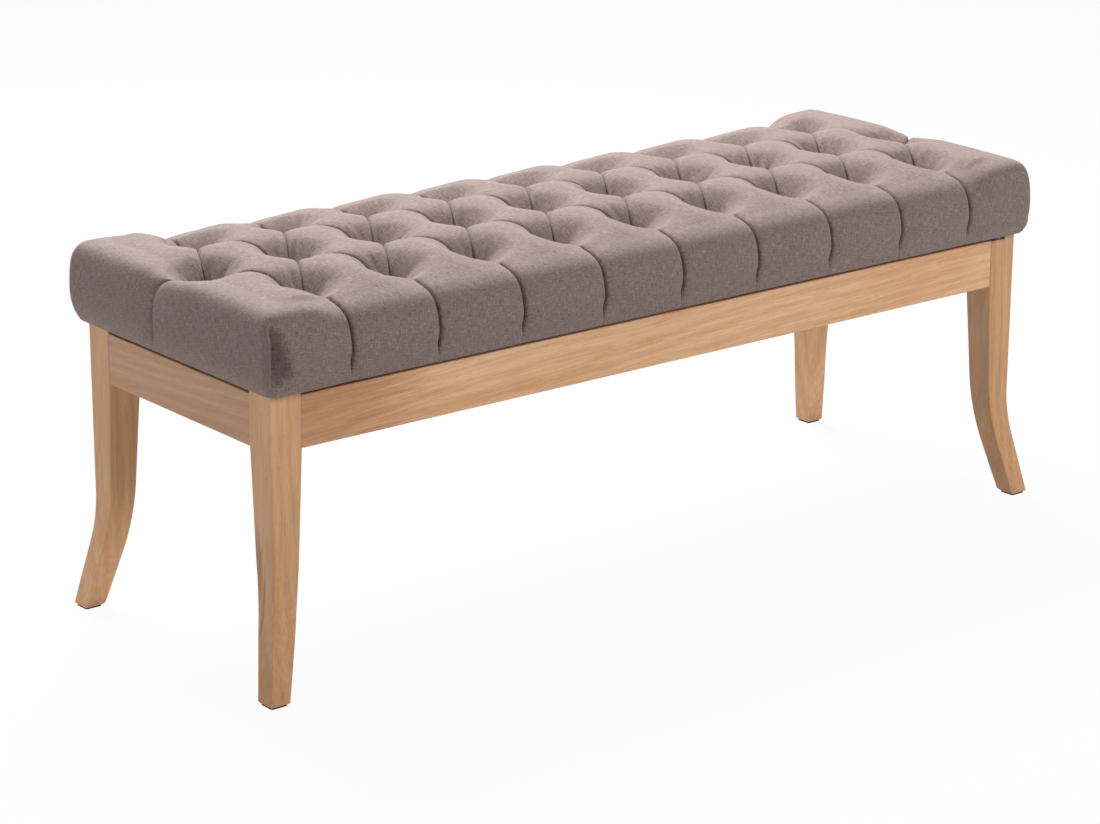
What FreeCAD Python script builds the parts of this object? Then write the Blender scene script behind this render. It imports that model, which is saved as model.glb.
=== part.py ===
"""Tufted bench: an upholstered seat on a wooden frame with four legs that flare outward.

Millimetres. X runs along the bench, Y from front to back, Z up.
The origin is on the floor, under the middle of the bench.
"""
import FreeCAD, Part
import math
import os

Vector = FreeCAD.Vector

# Overall sizes
SEAT_LENGTH = 1200.0
SEAT_DEPTH = 420.0
SEAT_HEIGHT = 463.0
SEAT_THICKNESS = 108.0
SEAT_OVERHANG_AT_END = 19.0
SEAT_OVERHANG_AT_FRONT = 22.0

# Clearances
FIT = 0.3
WOOD_FIT = 0.2

# Legs: a straight block at the apron, a taper below it, and a flare at the foot
GLIDE_THICKNESS = 2.0
LEG_SIZE = 42.0
LEG_SIZE_AT_BEND = 33.0
LEG_SIZE_AT_FOOT = 27.0
LEG_FLARE = 22.5
BEND_HEIGHT = 114.0
OUTER_BEND_RADIUS = 330.0
INNER_BEND_RADIUS = 480.0
LEG_ARRIS = 2.0
FOOT_CHAMFER = 2.0
LEG_CORNER_FLAT = 8.0

# Aprons, and the tenons that join them to the legs
APRON_HEIGHT = 62.0
APRON_THICKNESS = 20.0
APRON_SETBACK = 1.0
APRON_ARRIS = 1.5
SEAT_GAP = 5.0
TENON_LENGTH = 14.0
TENON_THICKNESS = 8.0
TENON_SHOULDER = 8.0

# Corner blocks and what fastens them
BLOCK_THICKNESS = 20.0
BLOCK_HEIGHT = 50.0
BLOCK_LEG_GAP = 6.0
HANGER_DIAMETER = 8.0
HANGER_DEPTH_IN_LEG = 28.0
HANGER_STICK_OUT = 12.0
HANGER_HOLE_FIT = 0.5
NUT_WIDTH = 13.0
NUT_THICKNESS = 6.5
WASHER_DIAMETER = 18.0
WASHER_THICKNESS = 1.6
BLOCK_SCREW_DIAMETER = 4.0
BLOCK_SCREW_DEPTH_IN_APRON = 13.0
BLOCK_SCREW_ALONG = 0.55
SCREW_HEAD_DIAMETER = 8.0
SCREW_HEAD_THICKNESS = 3.0
SCREW_POCKET_FIT = 0.5

# Cross rails under the seat
SPACES_BETWEEN_CROSS_RAILS = 3
CROSS_RAIL_WIDTH = 22.0
CROSS_RAIL_HEIGHT = 45.0
DOWEL_DIAMETER = 8.0
DOWEL_DEPTH_IN_APRON = 12.0
DOWEL_DEPTH_IN_RAIL = 16.0
DOWEL_PITCH = 22.0

# Screws that hold the seat down
SEAT_SCREW_DIAMETER = 4.5
SEAT_SCREW_GRIP = 26.0
SEAT_SCREW_DEPTH_IN_BOARD = 9.0
SEAT_SCREW_OFFSET = 13.0
RAIL_SCREW_SPACING = 200.0

# The notch and bolt at the top of the front right leg
NOTCH_LENGTH = 24.0
NOTCH_WIDTH = 20.0
NOTCH_DEPTH = 6.0
NOTCH_BOLT_DIAMETER = 5.0
NOTCH_BOLT_HEAD_WIDTH = 8.0
NOTCH_BOLT_HEAD_HEIGHT = 5.0
NOTCH_BOLT_DEPTH_IN_LEG = 20.0
NOTCH_BOLT_FROM_END = 5.5
NOTCH_BOLT_FROM_FRONT = 8.0

# Glides
GLIDE_MARGIN = 2.5
GLIDE_CORNER = 3.0

# Seat board and cover
BOARD_THICKNESS = 12.0
BOARD_MARGIN = 14.0
BOARD_CORNER = 14.0
CLOTH_THICKNESS = 1.2
CLOTH_TURN_UNDER = 48.0
DUST_COVER_THICKNESS = 0.8

# Cushion outline
CUSHION_CORNER = 24.0
CUSHION_TOP_EDGE = 28.0
CUSHION_BOTTOM_EDGE = 12.0

# Tufting: a middle row of tufts, and one row each side set half a pitch along
TUFTS_IN_MIDDLE_ROW = 10
TUFT_ROW_FROM_SEAT_EDGE = 95.0
WELL_RADIUS = 30.0
WELL_FLOOR_RADIUS = 5.0
WELL_DEPTH = 26.0
PLEAT_HALF_WIDTH = 9.0
PLEAT_DEPTH = 12.0
EDGE_PLEAT_HALF_WIDTH = 7.0
EDGE_PLEAT_DEPTH = 9.0
TWINE_DIAMETER = 2.4
TWINE_HOLE_DIAMETER = 4.0

# How far a cutting shape runs past the surface that it cuts
OVERSHOOT = 2.0

# Places worked out from the sizes above
HALF_LENGTH = SEAT_LENGTH / 2 - SEAT_OVERHANG_AT_END
HALF_DEPTH = SEAT_DEPTH / 2 - SEAT_OVERHANG_AT_FRONT
LEG_TOP = SEAT_HEIGHT - SEAT_THICKNESS
CROSS_RAIL_SPACING = SEAT_LENGTH / SPACES_BETWEEN_CROSS_RAILS
TUFT_PITCH = SEAT_LENGTH / TUFTS_IN_MIDDLE_ROW
TUFT_ROW_SPACING = SEAT_DEPTH / 2 - TUFT_ROW_FROM_SEAT_EDGE
APRON_TOP = LEG_TOP - SEAT_GAP
APRON_BOTTOM = APRON_TOP - APRON_HEIGHT
SEAT_UNDERSIDE = LEG_TOP
BOARD_BOTTOM = SEAT_UNDERSIDE + CLOTH_THICKNESS
BOARD_TOP = BOARD_BOTTOM + BOARD_THICKNESS
BLOCK_BOTTOM = LEG_TOP - BLOCK_HEIGHT
HANGER_HEIGHT = BLOCK_BOTTOM + BLOCK_HEIGHT / 2
APRON_INSIDE_X = HALF_LENGTH - APRON_SETBACK - APRON_THICKNESS
APRON_INSIDE_Y = HALF_DEPTH - APRON_SETBACK - APRON_THICKNESS
DIAGONAL = Vector(1, 1, 0).normalize()
ACROSS = Vector(1, -1, 0).normalize()
UP = Vector(0, 0, 1)

CORNERS = {
    "front_left": (False, False),
    "front_right": (True, False),
    "back_left": (False, True),
    "back_right": (True, True),
}


def box(x, y, z):
    """A box between two values along each axis."""
    size = [high - low for low, high in (x, y, z)]
    return Part.makeBox(*size, Vector(x[0], y[0], z[0]))


def rod(start, direction, length, diameter):
    """A round bar from a start point along a direction."""
    return Part.makeCylinder(diameter / 2, length, start, direction)


def mirrored(shape, flip_x, flip_y):
    """A shape of the front left corner, carried over to another corner."""
    if flip_x:
        shape = shape.mirror(Vector(0, 0, 0), Vector(1, 0, 0))
    if flip_y:
        shape = shape.mirror(Vector(0, 0, 0), Vector(0, 1, 0))
    return shape


def rounded_outline(points):
    """A closed face from (point, radius) corners, with a tangent arc at each corner that has a radius."""
    starts = []
    ends = []
    middles = []
    for index, (corner, radius) in enumerate(points):
        back = (points[index - 1][0] - corner).normalize()
        ahead = (points[(index + 1) % len(points)][0] - corner).normalize()
        half_turn = (math.pi - back.getAngle(ahead)) / 2
        reach = radius * math.tan(half_turn)
        starts.append(corner + back * reach)
        ends.append(corner + ahead * reach)
        inward = back + ahead
        middle = corner
        if radius:
            inward.normalize()
            middle = corner + inward * (radius / math.cos(half_turn) - radius)
        middles.append(middle)
    edges = []
    for index, (corner, radius) in enumerate(points):
        if radius:
            edges.append(Part.Arc(starts[index], middles[index], ends[index]).toShape())
        following = starts[(index + 1) % len(points)]
        if (following - ends[index]).Length > 1e-6:
            edges.append(Part.LineSegment(ends[index], following).toShape())
    return Part.Face(Part.Wire(edges))


def rounded_plate(length, depth, corner, bottom, top):
    """A plate centred on the origin, with rounded corners in plan."""
    x = length / 2
    y = depth / 2
    corners = [(-x, -y), (x, -y), (x, y), (-x, y)]
    face = rounded_outline([(Vector(px, py, bottom), corner) for px, py in corners])
    return face.extrude(UP * (top - bottom))


def hexagon(centre, direction, across_flats, thickness):
    """A six-sided prism, such as a nut or a bolt head."""
    prism = Part.Face(Part.makePolygon([
        Vector(
            across_flats / math.sqrt(3) * math.cos(math.radians(60 * side)),
            across_flats / math.sqrt(3) * math.sin(math.radians(60 * side)),
            0,
        )
        for side in range(7)
    ])).extrude(UP * thickness)
    prism.Placement = FreeCAD.Placement(centre, FreeCAD.Rotation(UP, direction))
    return prism


def group(shapes):
    """Separate solids that share one node."""
    return Part.makeCompound(shapes)


# Legs


def leg_profile():
    """The side outline of the front left leg in the XZ plane, its outer edge on the left."""
    outer = -HALF_LENGTH
    corners = [
        (outer, LEG_TOP, 0),
        (outer, BEND_HEIGHT, OUTER_BEND_RADIUS),
        (outer - LEG_FLARE, GLIDE_THICKNESS, 0),
        (outer - LEG_FLARE + LEG_SIZE_AT_FOOT, GLIDE_THICKNESS, 0),
        (outer + LEG_SIZE_AT_BEND, BEND_HEIGHT, INNER_BEND_RADIUS),
        (outer + LEG_SIZE, APRON_BOTTOM, 0),
        (outer + LEG_SIZE, LEG_TOP, 0),
    ]
    return rounded_outline([(Vector(x, 0, z), radius) for x, z, radius in corners])


def leg_blank():
    """The shaped leg: one outline cut from the side, and the same outline cut from the front."""
    reach = LEG_SIZE + LEG_FLARE + OVERSHOOT
    side_cut = leg_profile()
    side_cut.translate(Vector(0, -HALF_DEPTH - reach, 0))
    side_cut = side_cut.extrude(Vector(0, 2 * reach, 0))
    front_cut = leg_profile()
    front_cut.rotate(Vector(-HALF_LENGTH, 0, 0), UP, 90)
    front_cut.translate(Vector(-reach, -HALF_DEPTH, 0))
    front_cut = front_cut.extrude(Vector(2 * reach, 0, 0))
    blank = side_cut.common(front_cut).Solids[0]
    return blank.makeFillet(LEG_ARRIS, [edge for edge in blank.Edges if is_arris(edge)])


def is_arris(edge):
    """Whether an edge runs up the leg, other than at the corner that faces in under the seat."""
    middle = edge.valueAt((edge.FirstParameter + edge.LastParameter) / 2)
    faces_in = min(middle.x + HALF_LENGTH, middle.y + HALF_DEPTH) > WOOD_FIT
    return edge.BoundBox.ZLength > LEG_SIZE and not faces_in


def foot_middle(height):
    """The middle of the front left foot, at a height."""
    inwards = LEG_SIZE_AT_FOOT / 2 - LEG_FLARE
    return Vector(-HALF_LENGTH + inwards, -HALF_DEPTH + inwards, height)


def square(middle, half):
    """A level square around a point, as a closed wire."""
    corners = [middle + Vector(x * half, y * half, 0) for x, y in ((-1, -1), (1, -1), (1, 1), (-1, 1))]
    return Part.makePolygon(corners + corners[:1])


def foot_skirt():
    """The ring that takes the sharp lower edges off the foot at 45 degrees."""
    low = foot_middle(GLIDE_THICKNESS - OVERSHOOT)
    high = foot_middle(GLIDE_THICKNESS + FOOT_CHAMFER + OVERSHOOT)
    widest = LEG_SIZE_AT_FOOT / 2 + OVERSHOOT
    ring = Part.Face(square(low, widest)).extrude(high - low)
    kept = Part.makeLoft([square(low, widest - (high.z - low.z)), square(high, widest)], True, True)
    return ring.cut(kept)


def tenon(place):
    """The front apron's left tenon ("front") or the left apron's front tenon ("left")."""
    setback = APRON_SETBACK + (APRON_THICKNESS - TENON_THICKNESS) / 2
    along = (LEG_SIZE - TENON_LENGTH, LEG_SIZE)
    across = (setback, setback + TENON_THICKNESS)
    height = (APRON_BOTTOM + TENON_SHOULDER, APRON_TOP - TENON_SHOULDER)
    spans = (along, across) if place == "front" else (across, along)
    x = [-HALF_LENGTH + value for value in spans[0]]
    y = [-HALF_DEPTH + value for value in spans[1]]
    return x, y, height


def mortise(place):
    """The pocket for a tenon, a little longer and wider than the tenon."""
    x, y, z = tenon(place)
    grown = []
    for low, high in (x, y, z):
        grown.append((low - WOOD_FIT, high + WOOD_FIT))
    return box(*grown)


def corner_flat():
    """The cut that takes the sharp inside corner off a leg, beside the corner block."""
    corner = Vector(-HALF_LENGTH + LEG_SIZE, -HALF_DEPTH + LEG_SIZE, APRON_BOTTOM)
    leg_side = corner - Vector(LEG_CORNER_FLAT, 0, 0)
    leg_back = corner - Vector(0, LEG_CORNER_FLAT, 0)
    past = corner + Vector(OVERSHOOT, OVERSHOOT, 0)
    wedge = Part.Face(Part.makePolygon([leg_side, leg_back, past, leg_side]))
    return wedge.extrude(UP * (LEG_TOP - APRON_BOTTOM + OVERSHOOT))


def leg():
    """The front left leg, with its mortises and the hole for its hanger bolt."""
    bore = rod(hanger_tip() - DIAGONAL * WOOD_FIT, DIAGONAL, hanger_length(), HANGER_DIAMETER + WOOD_FIT)
    return leg_blank().cut([mortise("front"), mortise("left"), corner_flat(), foot_skirt(), bore])


def notch():
    """The notch at the top of the front right leg, open to the front and towards the apron."""
    inner_face = HALF_LENGTH - LEG_SIZE
    return box(
        (inner_face - OVERSHOOT, inner_face + NOTCH_LENGTH),
        (-HALF_DEPTH - OVERSHOOT, -HALF_DEPTH + NOTCH_WIDTH),
        (LEG_TOP - NOTCH_DEPTH, LEG_TOP + OVERSHOOT),
    )


def notch_bolt_seat():
    """Where the head of the notch bolt rests."""
    return Vector(
        HALF_LENGTH - LEG_SIZE + NOTCH_LENGTH - NOTCH_BOLT_FROM_END,
        -HALF_DEPTH + NOTCH_BOLT_FROM_FRONT,
        LEG_TOP - NOTCH_DEPTH,
    )


def notch_bolt():
    """A hex bolt that stands in the notch, with its shank down in the leg."""
    seat = notch_bolt_seat()
    head = hexagon(seat, UP, NOTCH_BOLT_HEAD_WIDTH, NOTCH_BOLT_HEAD_HEIGHT)
    shank = rod(seat, -UP, NOTCH_BOLT_DEPTH_IN_LEG, NOTCH_BOLT_DIAMETER)
    return head.fuse(shank)


def notch_bolt_hole():
    """The hole for the shank of the notch bolt."""
    depth = NOTCH_BOLT_DEPTH_IN_LEG + WOOD_FIT
    return rod(notch_bolt_seat(), -UP, depth, NOTCH_BOLT_DIAMETER + WOOD_FIT)


def glide():
    """The pad under the front left foot."""
    size = LEG_SIZE_AT_FOOT - 2 * GLIDE_MARGIN
    pad = rounded_plate(size, size, GLIDE_CORNER, 0, GLIDE_THICKNESS)
    pad.translate(foot_middle(0))
    return pad


# Aprons and cross rails


def long_apron():
    """The front apron, between the front legs, with a tenon at each end."""
    half = HALF_LENGTH - LEG_SIZE
    front = -HALF_DEPTH + APRON_SETBACK
    board = box((-half, half), (front, front + APRON_THICKNESS), (APRON_BOTTOM, APRON_TOP))
    board = eased(board, lambda bounds: bounds.YMax < front + WOOD_FIT)
    left_tenon = box(*tenon("front"))
    right_tenon = mirrored(left_tenon, True, False)
    return board.fuse([left_tenon, right_tenon]).removeSplitter().cut(dowel_holes() + long_apron_pilots())


def short_apron():
    """The left apron, between the two left legs, with a tenon at each end."""
    half = HALF_DEPTH - LEG_SIZE
    left = -HALF_LENGTH + APRON_SETBACK
    board = box((left, left + APRON_THICKNESS), (-half, half), (APRON_BOTTOM, APRON_TOP))
    board = eased(board, lambda bounds: bounds.XMax < left + WOOD_FIT)
    front_tenon = box(*tenon("left"))
    back_tenon = mirrored(front_tenon, False, True)
    pilot = block_screw_pilot("left")
    pilots = [pilot, mirrored(pilot, False, True)]
    return board.fuse([front_tenon, back_tenon]).removeSplitter().cut(pilots)


def eased(board, on_face):
    """An apron with its two long outer edges rounded."""
    edges = [edge for edge in board.Edges if on_face(edge.BoundBox) and edge.BoundBox.ZLength < WOOD_FIT]
    return board.makeFillet(APRON_ARRIS, edges)


def dowel_places():
    """The (x, z) places of the dowels at the front ends of both cross rails."""
    middle = LEG_TOP - CROSS_RAIL_HEIGHT / 2 - SEAT_GAP / 2
    places = []
    for side in (-1, 1):
        for step in (-1, 1):
            places.append((side * CROSS_RAIL_SPACING / 2, middle + step * DOWEL_PITCH / 2))
    return places


def dowel_bar(place, extra):
    """A dowel of the front apron, or with extra length and width, the hole for it."""
    x, z = place
    start = Vector(x, -APRON_INSIDE_Y - DOWEL_DEPTH_IN_APRON - extra, z)
    length = DOWEL_DEPTH_IN_APRON + DOWEL_DEPTH_IN_RAIL + 2 * extra
    return rod(start, Vector(0, 1, 0), length, DOWEL_DIAMETER + extra)


def dowel_holes():
    """The holes for the dowels in the front apron and the front ends of the rails."""
    return [dowel_bar(place, WOOD_FIT) for place in dowel_places()]


def rail_dowels():
    """All the dowels of the cross rails."""
    front = [dowel_bar(place, 0) for place in dowel_places()]
    return group(front + [mirrored(dowel, False, True) for dowel in front])


def long_apron_pilots():
    """The screw holes of the corner blocks in the front apron."""
    pilot = block_screw_pilot("front")
    return [pilot, mirrored(pilot, True, False)]


def cross_rail():
    """The left cross rail, from the front apron to the back one."""
    middle = -CROSS_RAIL_SPACING / 2
    rail = box(
        (middle - CROSS_RAIL_WIDTH / 2, middle + CROSS_RAIL_WIDTH / 2),
        (-APRON_INSIDE_Y, APRON_INSIDE_Y),
        (LEG_TOP - CROSS_RAIL_HEIGHT, LEG_TOP),
    )
    holes = dowel_holes()
    holes += [mirrored(hole, False, True) for hole in holes]
    for place in rail_screw_places():
        holes.append(seat_screw_hole(place, LEG_TOP - CROSS_RAIL_HEIGHT))
    return rail.cut(holes)


# Corner blocks and their fasteners


def block_inner_reach():
    """How far along each apron, from the inside corner of the aprons, the block's near face meets it."""
    corner_to_leg = 2 * (LEG_SIZE - APRON_SETBACK - APRON_THICKNESS) - LEG_CORNER_FLAT
    return corner_to_leg + BLOCK_LEG_GAP * math.sqrt(2)


def block_outer_reach():
    """The same for the block's far face."""
    return block_inner_reach() + BLOCK_THICKNESS * math.sqrt(2)


def apron_corner(height):
    """The inside corner where the front and left aprons would meet."""
    return Vector(-APRON_INSIDE_X, -APRON_INSIDE_Y, height)


def corner_block():
    """The front left block, cut off at 45 degrees where it meets each apron."""
    corner = apron_corner(BLOCK_BOTTOM)
    near = block_inner_reach()
    far = block_outer_reach()
    plan = [
        corner + Vector(near, 0, 0),
        corner + Vector(far, 0, 0),
        corner + Vector(0, far, 0),
        corner + Vector(0, near, 0),
    ]
    block = Part.Face(Part.makePolygon(plan + plan[:1])).extrude(UP * BLOCK_HEIGHT)
    bore = rod(hanger_tip(), DIAGONAL, hanger_length(), HANGER_DIAMETER + HANGER_HOLE_FIT)
    screw_holes = [block_screw_hole("front"), block_screw_hole("left")]
    seat_hole = seat_screw_hole(block_seat_screw_place(), BLOCK_BOTTOM)
    return block.cut([bore, seat_hole] + screw_holes)


def block_far_face(height):
    """The middle of the block's far face, where the washer sits."""
    return apron_corner(height) + DIAGONAL * (block_outer_reach() / math.sqrt(2))


def leg_flat_face(height):
    """The middle of the flat on the leg's inside corner."""
    corner = Vector(-HALF_LENGTH + LEG_SIZE, -HALF_DEPTH + LEG_SIZE, height)
    return corner - DIAGONAL * (LEG_CORNER_FLAT / math.sqrt(2))


def hanger_tip():
    """The end of the hanger bolt inside the leg."""
    return leg_flat_face(HANGER_HEIGHT) - DIAGONAL * HANGER_DEPTH_IN_LEG


def hanger_length():
    """The length of a hanger bolt, from its tip to past its nut."""
    return (block_far_face(HANGER_HEIGHT) - hanger_tip()).Length + HANGER_STICK_OUT


def hanger_bolt():
    """The bolt from the front left leg out through its corner block."""
    return rod(hanger_tip(), DIAGONAL, hanger_length(), HANGER_DIAMETER)


def hanger_washer():
    """The washer on the front left corner block."""
    seat = block_far_face(HANGER_HEIGHT)
    disc = rod(seat, DIAGONAL, WASHER_THICKNESS, WASHER_DIAMETER)
    hole = rod(seat, DIAGONAL, WASHER_THICKNESS, HANGER_DIAMETER + HANGER_HOLE_FIT)
    return disc.cut(hole)


def hanger_nut():
    """The nut on the front left hanger bolt."""
    seat = block_far_face(HANGER_HEIGHT) + DIAGONAL * WASHER_THICKNESS
    nut = hexagon(seat, DIAGONAL, NUT_WIDTH, NUT_THICKNESS)
    return nut.cut(rod(seat, DIAGONAL, NUT_THICKNESS, HANGER_DIAMETER + WOOD_FIT))


def block_screw_line(place):
    """Where a block screw's head rests, and which way it points into the apron."""
    near = block_inner_reach()
    far = block_outer_reach()
    along = near + (far - near) * BLOCK_SCREW_ALONG
    depth = far - along - SCREW_HEAD_THICKNESS - SCREW_HEAD_DIAMETER / 2
    if place == "front":
        return apron_corner(HANGER_HEIGHT) + Vector(along, depth, 0), Vector(0, -1, 0), depth
    return apron_corner(HANGER_HEIGHT) + Vector(depth, along, 0), Vector(-1, 0, 0), depth


def screw(seat, direction, length, diameter):
    """A screw with a plain round head that rests at its seat."""
    head = rod(seat, -direction, SCREW_HEAD_THICKNESS, SCREW_HEAD_DIAMETER)
    return head.fuse(rod(seat, direction, length, diameter))


def block_screw(place):
    """A screw through the corner block into an apron."""
    seat, direction, depth = block_screw_line(place)
    return screw(seat, direction, depth + BLOCK_SCREW_DEPTH_IN_APRON, BLOCK_SCREW_DIAMETER)


def block_screw_hole(place):
    """The hole through the block for one screw, with a pocket for its head."""
    seat, direction, depth = block_screw_line(place)
    pocket = rod(seat, -direction, block_outer_reach(), SCREW_HEAD_DIAMETER + SCREW_POCKET_FIT)
    return pocket.fuse(rod(seat, direction, depth, BLOCK_SCREW_DIAMETER + WOOD_FIT))


def block_screw_pilot(place):
    """The hole in the apron for one block screw."""
    seat, direction, depth = block_screw_line(place)
    length = depth + BLOCK_SCREW_DEPTH_IN_APRON + WOOD_FIT
    return rod(seat, direction, length, BLOCK_SCREW_DIAMETER + WOOD_FIT)


# Screws that hold the seat


def block_seat_screw_place():
    """The plan place of the seat screw in the front left block, to one side of the hanger bolt."""
    middle = apron_corner(0) + DIAGONAL * ((block_inner_reach() + block_outer_reach()) / 2 / math.sqrt(2))
    return middle + ACROSS * SEAT_SCREW_OFFSET


def rail_screw_places():
    """The plan places of the seat screws in the left cross rail."""
    return [
        Vector(-CROSS_RAIL_SPACING / 2, side * RAIL_SCREW_SPACING / 2, 0)
        for side in (-1, 1)
    ]


def seat_screw(place):
    """A screw up into the seat board, its head in a deep pocket below."""
    seat = Vector(place.x, place.y, LEG_TOP - SEAT_SCREW_GRIP)
    length = SEAT_SCREW_GRIP + BOARD_BOTTOM - LEG_TOP + SEAT_SCREW_DEPTH_IN_BOARD
    return screw(seat, UP, length, SEAT_SCREW_DIAMETER)


def seat_screw_hole(place, bottom):
    """The hole for a seat screw in the wood that carries it, and the pocket below it."""
    seat = Vector(place.x, place.y, LEG_TOP - SEAT_SCREW_GRIP)
    shank_hole = rod(seat, UP, SEAT_SCREW_GRIP, SEAT_SCREW_DIAMETER + SCREW_POCKET_FIT)
    pocket = rod(seat, -UP, seat.z - bottom, SCREW_HEAD_DIAMETER + SCREW_POCKET_FIT)
    return shank_hole.fuse(pocket)


def seat_screw_places():
    """The plan places of all the seat screws."""
    places = []
    for side_x in (-1, 1):
        for side_y in (-1, 1):
            corner = block_seat_screw_place()
            places.append(Vector(-side_x * corner.x, -side_y * corner.y, 0))
        for place in rail_screw_places():
            places.append(Vector(-side_x * place.x, place.y, 0))
    return places


# The seat


def tuft_places():
    """The (x, y) places of the tufts in the front, middle and back rows."""
    last = (TUFTS_IN_MIDDLE_ROW - 1) / 2 * TUFT_PITCH
    middle = [(-last + index * TUFT_PITCH, 0) for index in range(TUFTS_IN_MIDDLE_ROW)]
    front = [(x + TUFT_PITCH / 2, -TUFT_ROW_SPACING) for x, y in middle[:-1]]
    back = [(x, -y) for x, y in front]
    return front, middle, back


def well(place, inset):
    """The cone that a tuft draws into the cushion, grown by an inset for what lies under the cloth."""
    slope = math.atan2(WELL_RADIUS - WELL_FLOOR_RADIUS, WELL_DEPTH)
    spread = inset / math.cos(slope) - inset * math.tan(slope)
    floor_radius = WELL_FLOOR_RADIUS + spread
    height = WELL_DEPTH + inset + OVERSHOOT
    mouth_radius = floor_radius + height * math.tan(slope)
    floor = Vector(place[0], place[1], SEAT_HEIGHT - WELL_DEPTH - inset)
    return Part.makeCone(floor_radius, mouth_radius, height, floor, UP)


def pleat_section(half_width, depth, inset):
    """The half width and depth of a pleat's V, grown by an inset, where it leaves the surface."""
    slant = math.hypot(half_width, depth)
    return half_width + inset * slant / depth, depth + inset * slant / half_width


def pleat_wedge(start, across, half_width, depth):
    """The V of a pleat as a face, standing on the cushion's top at its start."""
    rise = 1 + OVERSHOOT / depth
    mouth = start + UP * OVERSHOOT
    root = start - UP * depth
    corners = [mouth - across * half_width * rise, root, mouth + across * half_width * rise]
    return Part.Face(Part.makePolygon(corners + corners[:1]))


def pleat_between(first, second, inset):
    """A straight pleat from tuft to tuft across the top."""
    start = Vector(first[0], first[1], SEAT_HEIGHT)
    run = Vector(second[0], second[1], SEAT_HEIGHT) - start
    across = run.cross(UP).normalize()
    half_width, depth = pleat_section(PLEAT_HALF_WIDTH, PLEAT_DEPTH, inset)
    return pleat_wedge(start, across, half_width, depth).extrude(run)


def pleat_over_edge(tuft, outward, inset):
    """A pleat from an outer tuft to the cushion's edge, over it and down the side."""
    across = outward.cross(UP)
    edge = abs(outward.x) * SEAT_LENGTH / 2 + abs(outward.y) * SEAT_DEPTH / 2
    start = Vector(tuft[0], tuft[1], SEAT_HEIGHT)
    run = edge - CUSHION_TOP_EDGE - start.dot(outward)
    half_width, depth = pleat_section(EDGE_PLEAT_HALF_WIDTH, EDGE_PLEAT_DEPTH, inset)
    section = pleat_wedge(start, across, half_width, depth)
    top = section.extrude(outward * run)
    section.translate(outward * run)
    centre = start + outward * run - UP * CUSHION_TOP_EDGE
    bend = section.revolve(centre, across, -90)
    section.rotate(centre, across, -90)
    side = section.extrude(-UP * (SEAT_HEIGHT - CUSHION_TOP_EDGE - SEAT_UNDERSIDE))
    return [top, bend, side]


def tufting(inset):
    """Every well and pleat of the cushion as shapes to cut away."""
    front, middle, back = tuft_places()
    shapes = [well(place, inset) for place in front + middle + back]
    for row, outward in ((front, Vector(0, -1, 0)), (back, Vector(0, 1, 0))):
        for index, tuft in enumerate(row):
            shapes.append(pleat_between(tuft, middle[index], inset))
            shapes.append(pleat_between(tuft, middle[index + 1], inset))
            shapes += pleat_over_edge(tuft, outward, inset)
    shapes += pleat_over_edge(middle[0], Vector(-1, 0, 0), inset)
    shapes += pleat_over_edge(middle[-1], Vector(1, 0, 0), inset)
    return shapes


def cushion(inset):
    """The upholstered block, moved in from the cloth's outer face by an inset all round."""
    block = rounded_plate(
        SEAT_LENGTH - 2 * inset,
        SEAT_DEPTH - 2 * inset,
        CUSHION_CORNER - inset,
        SEAT_UNDERSIDE + inset,
        SEAT_HEIGHT - inset,
    )
    top_edges = [edge for edge in block.Edges if edge.BoundBox.ZMin > BOARD_TOP]
    block = block.makeFillet(CUSHION_TOP_EDGE - inset, top_edges)
    bottom_edges = [edge for edge in block.Edges if edge.BoundBox.ZMax < BOARD_TOP]
    block = block.makeFillet(CUSHION_BOTTOM_EDGE - inset, bottom_edges)
    return block.cut(tufting(inset))


def opening_plate(shrink, bottom, top):
    """The area inside the cloth that is turned under the seat."""
    return rounded_plate(
        SEAT_LENGTH - 2 * CLOTH_TURN_UNDER - 2 * shrink,
        SEAT_DEPTH - 2 * CLOTH_TURN_UNDER - 2 * shrink,
        BOARD_CORNER,
        bottom,
        top,
    )


def seat_cover():
    """The cloth: the cushion's skin, turned under the board all round."""
    opening = opening_plate(0, SEAT_UNDERSIDE - OVERSHOOT, BOARD_BOTTOM + OVERSHOOT)
    return cushion(0).cut([cushion(CLOTH_THICKNESS), opening])


def foam_pad():
    """The padding over the board, with its tuft wells and the holes for the twines."""
    below = box((-SEAT_LENGTH, SEAT_LENGTH), (-SEAT_DEPTH, SEAT_DEPTH), (0, BOARD_TOP))
    return cushion(CLOTH_THICKNESS + FIT).cut([below] + twine_holes(BOARD_TOP, SEAT_HEIGHT))


def twine_holes(bottom, top):
    """The holes for the twines between two heights."""
    front, middle, back = tuft_places()
    return [
        rod(Vector(x, y, bottom), UP, top - bottom, TWINE_HOLE_DIAMETER)
        for x, y in front + middle + back
    ]


def tuft_twines():
    """The twines from the cloth at each tuft down to the board's underside."""
    top = SEAT_HEIGHT - WELL_DEPTH - CLOTH_THICKNESS
    front, middle, back = tuft_places()
    return group([
        rod(Vector(x, y, BOARD_BOTTOM), UP, top - BOARD_BOTTOM, TWINE_DIAMETER)
        for x, y in front + middle + back
    ])


def seat_board():
    """The plywood board, with holes for the twines and the seat screws."""
    board = rounded_plate(
        SEAT_LENGTH - 2 * BOARD_MARGIN,
        SEAT_DEPTH - 2 * BOARD_MARGIN,
        BOARD_CORNER,
        BOARD_BOTTOM,
        BOARD_TOP,
    )
    pilots = [
        rod(
            Vector(place.x, place.y, BOARD_BOTTOM),
            UP,
            SEAT_SCREW_DEPTH_IN_BOARD + WOOD_FIT,
            SEAT_SCREW_DIAMETER + WOOD_FIT,
        )
        for place in seat_screw_places()
    ]
    return board.cut(twine_holes(BOARD_BOTTOM, BOARD_TOP) + pilots)


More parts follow.
